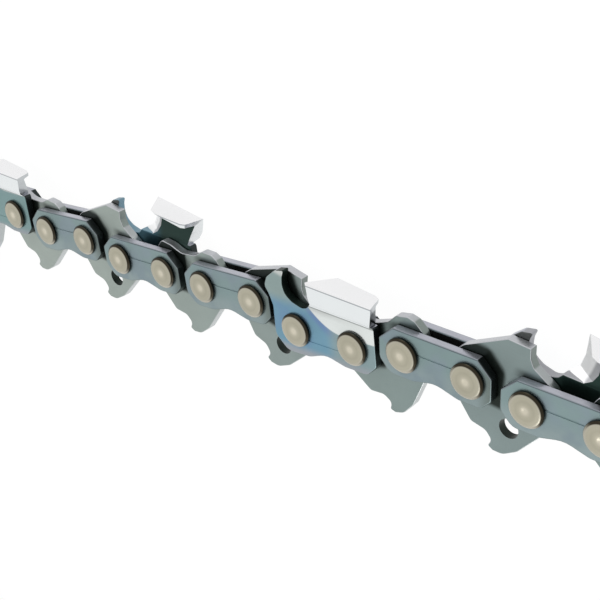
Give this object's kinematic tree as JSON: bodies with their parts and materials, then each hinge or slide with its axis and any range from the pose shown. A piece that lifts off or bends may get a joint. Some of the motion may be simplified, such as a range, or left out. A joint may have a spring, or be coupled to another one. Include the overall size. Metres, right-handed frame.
{
  "type": "chainsaw chain loop",
  "caption": "Closed saw chain of hooked drive links, tie straps and left and right cutters on rivets, bending at each pivot.",
  "frame": {"origin": "middle of the loop, at the level of the lowest cutter corners", "axes": "+Z along the rivets, +X along the slack run, from its leading end to its trailing end"},
  "size_m": [0.2106, 0.1461, 0.008],
  "materials": {
    "drive_steel": "dull, faintly oiled",
    "side_steel": "blued plates, pale rivet heads, chromed cutter tops"
  },
  "bodies": {
    "near_cutter_link_00": {"near_cutter_link_00": "side_steel"},
    "drive_link_00": {"drive_link_00": "drive_steel"},
    "strap_link_01": {"strap_link_01": "side_steel"},
    "bumper_drive_link_01": {"bumper_drive_link_01": "drive_steel"},
    "far_cutter_link_02": {"far_cutter_link_02": "side_steel"},
    "drive_link_02": {"drive_link_02": "drive_steel"},
    "strap_link_03": {"strap_link_03": "side_steel"},
    "bumper_drive_link_03": {"bumper_drive_link_03": "drive_steel"},
    "near_cutter_link_04": {"near_cutter_link_04": "side_steel"},
    "drive_link_04": {"drive_link_04": "drive_steel"},
    "strap_link_05": {"strap_link_05": "side_steel"},
    "bumper_drive_link_05": {"bumper_drive_link_05": "drive_steel"},
    "far_cutter_link_06": {"far_cutter_link_06": "side_steel"},
    "drive_link_06": {"drive_link_06": "drive_steel"},
    "strap_link_07": {"strap_link_07": "side_steel"},
    "bumper_drive_link_07": {"bumper_drive_link_07": "drive_steel"},
    "near_cutter_link_08": {"near_cutter_link_08": "side_steel"},
    "drive_link_08": {"drive_link_08": "drive_steel"},
    "strap_link_09": {"strap_link_09": "side_steel"},
    "bumper_drive_link_09": {"bumper_drive_link_09": "drive_steel"},
    "far_cutter_link_10": {"far_cutter_link_10": "side_steel"},
    "drive_link_10": {"drive_link_10": "drive_steel"},
    "strap_link_11": {"strap_link_11": "side_steel"},
    "bumper_drive_link_11": {"bumper_drive_link_11": "drive_steel"},
    "near_cutter_link_12": {"near_cutter_link_12": "side_steel"},
    "drive_link_12": {"drive_link_12": "drive_steel"},
    "strap_link_13": {"strap_link_13": "side_steel"},
    "bumper_drive_link_13": {"bumper_drive_link_13": "drive_steel"},
    "far_cutter_link_14": {"far_cutter_link_14": "side_steel"},
    "drive_link_14": {"drive_link_14": "drive_steel"},
    "strap_link_15": {"strap_link_15": "side_steel"},
    "bumper_drive_link_15": {"bumper_drive_link_15": "drive_steel"},
    "near_cutter_link_16": {"near_cutter_link_16": "side_steel"},
    "drive_link_16": {"drive_link_16": "drive_steel"},
    "strap_link_17": {"strap_link_17": "side_steel"},
    "bumper_drive_link_17": {"bumper_drive_link_17": "drive_steel"},
    "far_cutter_link_18": {"far_cutter_link_18": "side_steel"},
    "drive_link_18": {"drive_link_18": "drive_steel"},
    "strap_link_19": {"strap_link_19": "side_steel"},
    "bumper_drive_link_19": {"bumper_drive_link_19": "drive_steel"},
    "near_cutter_link_20": {"near_cutter_link_20": "side_steel"},
    "drive_link_20": {"drive_link_20": "drive_steel"},
    "strap_link_21": {"strap_link_21": "side_steel"},
    "bumper_drive_link_21": {"bumper_drive_link_21": "drive_steel"},
    "far_cutter_link_22": {"far_cutter_link_22": "side_steel"},
    "drive_link_22": {"drive_link_22": "drive_steel"},
    "strap_link_23": {"strap_link_23": "side_steel"},
    "bumper_drive_link_23": {"bumper_drive_link_23": "drive_steel"},
    "near_cutter_link_24": {"near_cutter_link_24": "side_steel"},
    "drive_link_24": {"drive_link_24": "drive_steel"},
    "strap_link_25": {"strap_link_25": "side_steel"},
    "bumper_drive_link_25": {"bumper_drive_link_25": "drive_steel"},
    "far_cutter_link_26": {"far_cutter_link_26": "side_steel"},
    "drive_link_26": {"drive_link_26": "drive_steel"},
    "strap_link_27": {"strap_link_27": "side_steel"},
    "bumper_drive_link_27": {"bumper_drive_link_27": "drive_steel"},
    "near_cutter_link_28": {"near_cutter_link_28": "side_steel"},
    "drive_link_28": {"drive_link_28": "drive_steel"},
    "strap_link_29": {"strap_link_29": "side_steel"},
    "bumper_drive_link_29": {"bumper_drive_link_29": "drive_steel"}
  },
  "joints": [
    {"name": "pivot_07", "type": "hinge", "parent": "strap_link_03", "child": "bumper_drive_link_03", "pos_m": [0.01872, 0.06344, 0.004], "axis": [0, 0, -1], "range_deg": [-6, 10]},
    {"name": "pivot_08", "type": "hinge", "parent": "bumper_drive_link_03", "child": "near_cutter_link_04", "pos_m": [0.02707, 0.06151, 0.004], "axis": [0, 0, -1], "range_deg": [-2, 10]},
    {"name": "pivot_09", "type": "hinge", "parent": "near_cutter_link_04", "child": "drive_link_04", "pos_m": [0.03713, 0.06204, 0.004], "axis": [0, 0, -1], "range_deg": [-6, 10]},
    {"name": "pivot_10", "type": "hinge", "parent": "drive_link_04", "child": "strap_link_05", "pos_m": [0.04548, 0.06397, 0.004], "axis": [0, 0, -1], "range_deg": [-6, 10]},
    {"name": "pivot_11", "type": "hinge", "parent": "strap_link_05", "child": "bumper_drive_link_05", "pos_m": [0.05555, 0.06388, 0.004], "axis": [0, 0, -1], "range_deg": [-6, 10]},
    {"name": "pivot_12", "type": "hinge", "parent": "bumper_drive_link_05", "child": "far_cutter_link_06", "pos_m": [0.06408, 0.06306, 0.004], "axis": [0, 0, -1], "range_deg": [-6, 10]},
    {"name": "pivot_13", "type": "hinge", "parent": "far_cutter_link_06", "child": "drive_link_06", "pos_m": [0.07415, 0.06297, 0.004], "axis": [0, 0, -1], "range_deg": [-4, 10]},
    {"name": "pivot_14", "type": "hinge", "parent": "drive_link_06", "child": "strap_link_07", "pos_m": [0.0827, 0.06357, 0.004], "axis": [0, 0, -1], "range_deg": [-4, 1]},
    {"name": "pivot_15", "type": "hinge", "parent": "strap_link_07", "child": "bumper_drive_link_07", "pos_m": [0.09163, 0.05892, 0.004], "axis": [0, 0, -1], "range_deg": [-10, 5]},
    {"name": "pivot_16", "type": "hinge", "parent": "bumper_drive_link_07", "child": "near_cutter_link_08", "pos_m": [0.09655, 0.0519, 0.004], "axis": [0, 0, -1], "range_deg": [-10, 5]},
    {"name": "pivot_17", "type": "hinge", "parent": "near_cutter_link_08", "child": "drive_link_08", "pos_m": [0.09786, 0.04191, 0.004], "axis": [0, 0, -1], "range_deg": [-10, 5]},
    {"name": "pivot_18", "type": "hinge", "parent": "drive_link_08", "child": "strap_link_09", "pos_m": [0.09493, 0.03386, 0.004], "axis": [0, 0, -1], "range_deg": [-10, 6]},
    {"name": "pivot_19", "type": "hinge", "parent": "strap_link_09", "child": "bumper_drive_link_09", "pos_m": [0.09148, 0.0244, 0.004], "axis": [0, 0, -1], "range_deg": [-10, 6]},
    {"name": "pivot_20", "type": "hinge", "parent": "bumper_drive_link_09", "child": "far_cutter_link_10", "pos_m": [0.08855, 0.01634, 0.004], "axis": [0, 0, -1], "range_deg": [-10, 6]},
    {"name": "pivot_21", "type": "hinge", "parent": "far_cutter_link_10", "child": "drive_link_10", "pos_m": [0.08511, 0.00688, 0.004], "axis": [0, 0, -1], "range_deg": [-10, 6]},
    {"name": "pivot_22", "type": "hinge", "parent": "drive_link_10", "child": "strap_link_11", "pos_m": [0.08218, -0.00117, 0.004], "axis": [0, 0, -1], "range_deg": [-10, 6]},
    {"name": "pivot_23", "type": "hinge", "parent": "strap_link_11", "child": "bumper_drive_link_11", "pos_m": [0.07873, -0.01064, 0.004], "axis": [0, 0, -1], "range_deg": [-10, 2]},
    {"name": "pivot_24", "type": "hinge", "parent": "bumper_drive_link_11", "child": "near_cutter_link_12", "pos_m": [0.0758, -0.01869, 0.004], "axis": [0, 0, -1], "range_deg": [-10, 6]},
    {"name": "pivot_25", "type": "hinge", "parent": "near_cutter_link_12", "child": "drive_link_12", "pos_m": [0.07236, -0.02815, 0.004], "axis": [0, 0, -1], "range_deg": [-10, 6]},
    {"name": "pivot_26", "type": "hinge", "parent": "drive_link_12", "child": "strap_link_13", "pos_m": [0.06943, -0.0362, 0.004], "axis": [0, 0, -1], "range_deg": [-10, 6]},
    {"name": "pivot_27", "type": "hinge", "parent": "strap_link_13", "child": "bumper_drive_link_13", "pos_m": [0.06598, -0.04567, 0.004], "axis": [0, 0, -1], "range_deg": [-10, 6]},
    {"name": "pivot_28", "type": "hinge", "parent": "bumper_drive_link_13", "child": "far_cutter_link_14", "pos_m": [0.06305, -0.05372, 0.004], "axis": [0, 0, -1], "range_deg": [-10, 4]},
    {"name": "pivot_29", "type": "hinge", "parent": "far_cutter_link_14", "child": "drive_link_14", "pos_m": [0.05545, -0.06033, 0.004], "axis": [0, 0, -1], "range_deg": [-1, 4]},
    {"name": "pivot_30", "type": "hinge", "parent": "drive_link_14", "child": "strap_link_15", "pos_m": [0.04707, -0.06211, 0.004], "axis": [0, 0, -1], "range_deg": [-5, 10]},
    {"name": "pivot_31", "type": "hinge", "parent": "strap_link_15", "child": "bumper_drive_link_15", "pos_m": [0.03701, -0.06264, 0.004], "axis": [0, 0, -1], "range_deg": [-5, 10]},
    {"name": "pivot_32", "type": "hinge", "parent": "bumper_drive_link_15", "child": "near_cutter_link_16", "pos_m": [0.02848, -0.06189, 0.004], "axis": [0, 0, -1], "range_deg": [-5, 10]},
    {"name": "pivot_33", "type": "hinge", "parent": "near_cutter_link_16", "child": "drive_link_16", "pos_m": [0.01845, -0.06285, 0.004], "axis": [0, 0, -1], "range_deg": [-6, 10]},
    {"name": "pivot_34", "type": "hinge", "parent": "drive_link_16", "child": "strap_link_17", "pos_m": [0.00994, -0.06188, 0.004], "axis": [0, 0, -1], "range_deg": [-6, 10]},
    {"name": "pivot_35", "type": "hinge", "parent": "strap_link_17", "child": "bumper_drive_link_17", "pos_m": [-0.00011, -0.0625, 0.004], "axis": [0, 0, -1], "range_deg": [-6, 10]},
    {"name": "pivot_36", "type": "hinge", "parent": "bumper_drive_link_17", "child": "far_cutter_link_18", "pos_m": [-0.00868, -0.06265, 0.004], "axis": [0, 0, -1], "range_deg": [-6, 10]},
    {"name": "pivot_59", "type": "hinge", "parent": "bumper_drive_link_29", "child": "strap_link_29", "pos_m": [-0.05545, 0.06033, 0.004], "axis": [0, 0, 1], "range_deg": [-1, 4]},
    {"name": "pivot_58", "type": "hinge", "parent": "strap_link_29", "child": "drive_link_28", "pos_m": [-0.06305, 0.05372, 0.004], "axis": [0, 0, 1], "range_deg": [-10, 4]},
    {"name": "pivot_57", "type": "hinge", "parent": "drive_link_28", "child": "near_cutter_link_28", "pos_m": [-0.06598, 0.04567, 0.004], "axis": [0, 0, 1], "range_deg": [-10, 6]},
    {"name": "pivot_56", "type": "hinge", "parent": "near_cutter_link_28", "child": "bumper_drive_link_27", "pos_m": [-0.06943, 0.0362, 0.004], "axis": [0, 0, 1], "range_deg": [-10, 6]},
    {"name": "pivot_55", "type": "hinge", "parent": "bumper_drive_link_27", "child": "strap_link_27", "pos_m": [-0.07236, 0.02815, 0.004], "axis": [0, 0, 1], "range_deg": [-10, 6]},
    {"name": "pivot_54", "type": "hinge", "parent": "strap_link_27", "child": "drive_link_26", "pos_m": [-0.0758, 0.01869, 0.004], "axis": [0, 0, 1], "range_deg": [-10, 6]},
    {"name": "pivot_53", "type": "hinge", "parent": "drive_link_26", "child": "far_cutter_link_26", "pos_m": [-0.07873, 0.01064, 0.004], "axis": [0, 0, 1], "range_deg": [-10, 2]},
    {"name": "pivot_52", "type": "hinge", "parent": "far_cutter_link_26", "child": "bumper_drive_link_25", "pos_m": [-0.08218, 0.00117, 0.004], "axis": [0, 0, 1], "range_deg": [-10, 6]},
    {"name": "pivot_51", "type": "hinge", "parent": "bumper_drive_link_25", "child": "strap_link_25", "pos_m": [-0.08511, -0.00688, 0.004], "axis": [0, 0, 1], "range_deg": [-10, 6]},
    {"name": "pivot_50", "type": "hinge", "parent": "strap_link_25", "child": "drive_link_24", "pos_m": [-0.08855, -0.01634, 0.004], "axis": [0, 0, 1], "range_deg": [-10, 6]},
    {"name": "pivot_49", "type": "hinge", "parent": "drive_link_24", "child": "near_cutter_link_24", "pos_m": [-0.09148, -0.0244, 0.004], "axis": [0, 0, 1], "range_deg": [-10, 6]},
    {"name": "pivot_48", "type": "hinge", "parent": "near_cutter_link_24", "child": "bumper_drive_link_23", "pos_m": [-0.09493, -0.03386, 0.004], "axis": [0, 0, 1], "range_deg": [-10, 6]},
    {"name": "pivot_47", "type": "hinge", "parent": "bumper_drive_link_23", "child": "strap_link_23", "pos_m": [-0.09786, -0.04191, 0.004], "axis": [0, 0, 1], "range_deg": [-10, 5]},
    {"name": "pivot_46", "type": "hinge", "parent": "strap_link_23", "child": "drive_link_22", "pos_m": [-0.09655, -0.0519, 0.004], "axis": [0, 0, 1], "range_deg": [-10, 5]},
    {"name": "pivot_45", "type": "hinge", "parent": "drive_link_22", "child": "far_cutter_link_22", "pos_m": [-0.09163, -0.05892, 0.004], "axis": [0, 0, 1], "range_deg": [-10, 5]},
    {"name": "pivot_44", "type": "hinge", "parent": "far_cutter_link_22", "child": "bumper_drive_link_21", "pos_m": [-0.0827, -0.06357, 0.004], "axis": [0, 0, 1], "range_deg": [-4, 1]},
    {"name": "pivot_43", "type": "hinge", "parent": "bumper_drive_link_21", "child": "strap_link_21", "pos_m": [-0.07415, -0.06297, 0.004], "axis": [0, 0, 1], "range_deg": [-4, 10]},
    {"name": "pivot_42", "type": "hinge", "parent": "strap_link_21", "child": "drive_link_20", "pos_m": [-0.06408, -0.06306, 0.004], "axis": [0, 0, 1], "range_deg": [-6, 10]},
    {"name": "pivot_41", "type": "hinge", "parent": "drive_link_20", "child": "near_cutter_link_20", "pos_m": [-0.05555, -0.06388, 0.004], "axis": [0, 0, 1], "range_deg": [-6, 10]},
    {"name": "pivot_40", "type": "hinge", "parent": "near_cutter_link_20", "child": "bumper_drive_link_19", "pos_m": [-0.04548, -0.06397, 0.004], "axis": [0, 0, 1], "range_deg": [-6, 10]},
    {"name": "pivot_39", "type": "hinge", "parent": "bumper_drive_link_19", "child": "strap_link_19", "pos_m": [-0.03713, -0.06204, 0.004], "axis": [0, 0, 1], "range_deg": [-6, 10]},
    {"name": "pivot_38", "type": "hinge", "parent": "strap_link_19", "child": "drive_link_18", "pos_m": [-0.02707, -0.06151, 0.004], "axis": [0, 0, 1], "range_deg": [-2, 10]},
    {"name": "pivot_06", "type": "hinge", "parent": "strap_link_03", "child": "drive_link_02", "pos_m": [0.00868, 0.06265, 0.004], "axis": [0, 0, 1], "range_deg": [-6, 10]},
    {"name": "pivot_05", "type": "hinge", "parent": "drive_link_02", "child": "far_cutter_link_02", "pos_m": [0.00011, 0.0625, 0.004], "axis": [0, 0, 1], "range_deg": [-6, 10]},
    {"name": "pivot_04", "type": "hinge", "parent": "far_cutter_link_02", "child": "bumper_drive_link_01", "pos_m": [-0.00994, 0.06188, 0.004], "axis": [0, 0, 1], "range_deg": [-6, 10]},
    {"name": "pivot_03", "type": "hinge", "parent": "bumper_drive_link_01", "child": "strap_link_01", "pos_m": [-0.01845, 0.06285, 0.004], "axis": [0, 0, 1], "range_deg": [-6, 10]},
    {"name": "pivot_02", "type": "hinge", "parent": "strap_link_01", "child": "drive_link_00", "pos_m": [-0.02848, 0.06189, 0.004], "axis": [0, 0, 1], "range_deg": [-5, 10]},
    {"name": "pivot_01", "type": "hinge", "parent": "drive_link_00", "child": "near_cutter_link_00", "pos_m": [-0.03701, 0.06264, 0.004], "axis": [0, 0, 1], "range_deg": [-5, 10]},
    {"name": "pivot_00", "type": "hinge", "parent": "near_cutter_link_00", "child": "bumper_drive_link_29", "pos_m": [-0.04707, 0.06211, 0.004], "axis": [0, 0, 1], "range_deg": [-5, 10]}
  ],
  "couplings": [
    {"joint": "pivot_15", "follows": "pivot_00", "ratio": -1},
    {"joint": "pivot_30", "follows": "pivot_00", "ratio": 1},
    {"joint": "pivot_45", "follows": "pivot_00", "ratio": -1},
    {"joint": "pivot_16", "follows": "pivot_01", "ratio": -1},
    {"joint": "pivot_31", "follows": "pivot_01", "ratio": 1},
    {"joint": "pivot_46", "follows": "pivot_01", "ratio": -1},
    {"joint": "pivot_17", "follows": "pivot_02", "ratio": -1},
    {"joint": "pivot_32", "follows": "pivot_02", "ratio": 1},
    {"joint": "pivot_47", "follows": "pivot_02", "ratio": -1},
    {"joint": "pivot_18", "follows": "pivot_03", "ratio": -1},
    {"joint": "pivot_33", "follows": "pivot_03", "ratio": 1},
    {"joint": "pivot_48", "follows": "pivot_03", "ratio": -1},
    {"joint": "pivot_19", "follows": "pivot_04", "ratio": -1},
    {"joint": "pivot_34", "follows": "pivot_04", "ratio": 1},
    {"joint": "pivot_49", "follows": "pivot_04", "ratio": -1},
    {"joint": "pivot_20", "follows": "pivot_05", "ratio": -1},
    {"joint": "pivot_35", "follows": "pivot_05", "ratio": 1},
    {"joint": "pivot_50", "follows": "pivot_05", "ratio": -1},
    {"joint": "pivot_21", "follows": "pivot_06", "ratio": -1},
    {"joint": "pivot_36", "follows": "pivot_06", "ratio": 1},
    {"joint": "pivot_51", "follows": "pivot_06", "ratio": -1},
    {"joint": "pivot_22", "follows": "pivot_07", "ratio": -1},
    {"joint": "pivot_52", "follows": "pivot_07", "ratio": -1},
    {"joint": "pivot_23", "follows": "pivot_08", "ratio": -1},
    {"joint": "pivot_38", "follows": "pivot_08", "ratio": 1},
    {"joint": "pivot_53", "follows": "pivot_08", "ratio": -1},
    {"joint": "pivot_24", "follows": "pivot_09", "ratio": -1},
    {"joint": "pivot_39", "follows": "pivot_09", "ratio": 1},
    {"joint": "pivot_54", "follows": "pivot_09", "ratio": -1},
    {"joint": "pivot_25", "follows": "pivot_10", "ratio": -1},
    {"joint": "pivot_40", "follows": "pivot_10", "ratio": 1},
    {"joint": "pivot_55", "follows": "pivot_10", "ratio": -1},
    {"joint": "pivot_26", "follows": "pivot_11", "ratio": -1},
    {"joint": "pivot_41", "follows": "pivot_11", "ratio": 1},
    {"joint": "pivot_56", "follows": "pivot_11", "ratio": -1},
    {"joint": "pivot_27", "follows": "pivot_12", "ratio": -1},
    {"joint": "pivot_42", "follows": "pivot_12", "ratio": 1},
    {"joint": "pivot_57", "follows": "pivot_12", "ratio": -1},
    {"joint": "pivot_28", "follows": "pivot_13", "ratio": -1},
    {"joint": "pivot_43", "follows": "pivot_13", "ratio": 1},
    {"joint": "pivot_58", "follows": "pivot_13", "ratio": -1},
    {"joint": "pivot_29", "follows": "pivot_14", "ratio": -1},
    {"joint": "pivot_44", "follows": "pivot_14", "ratio": 1},
    {"joint": "pivot_59", "follows": "pivot_14", "ratio": -1}
  ]
}
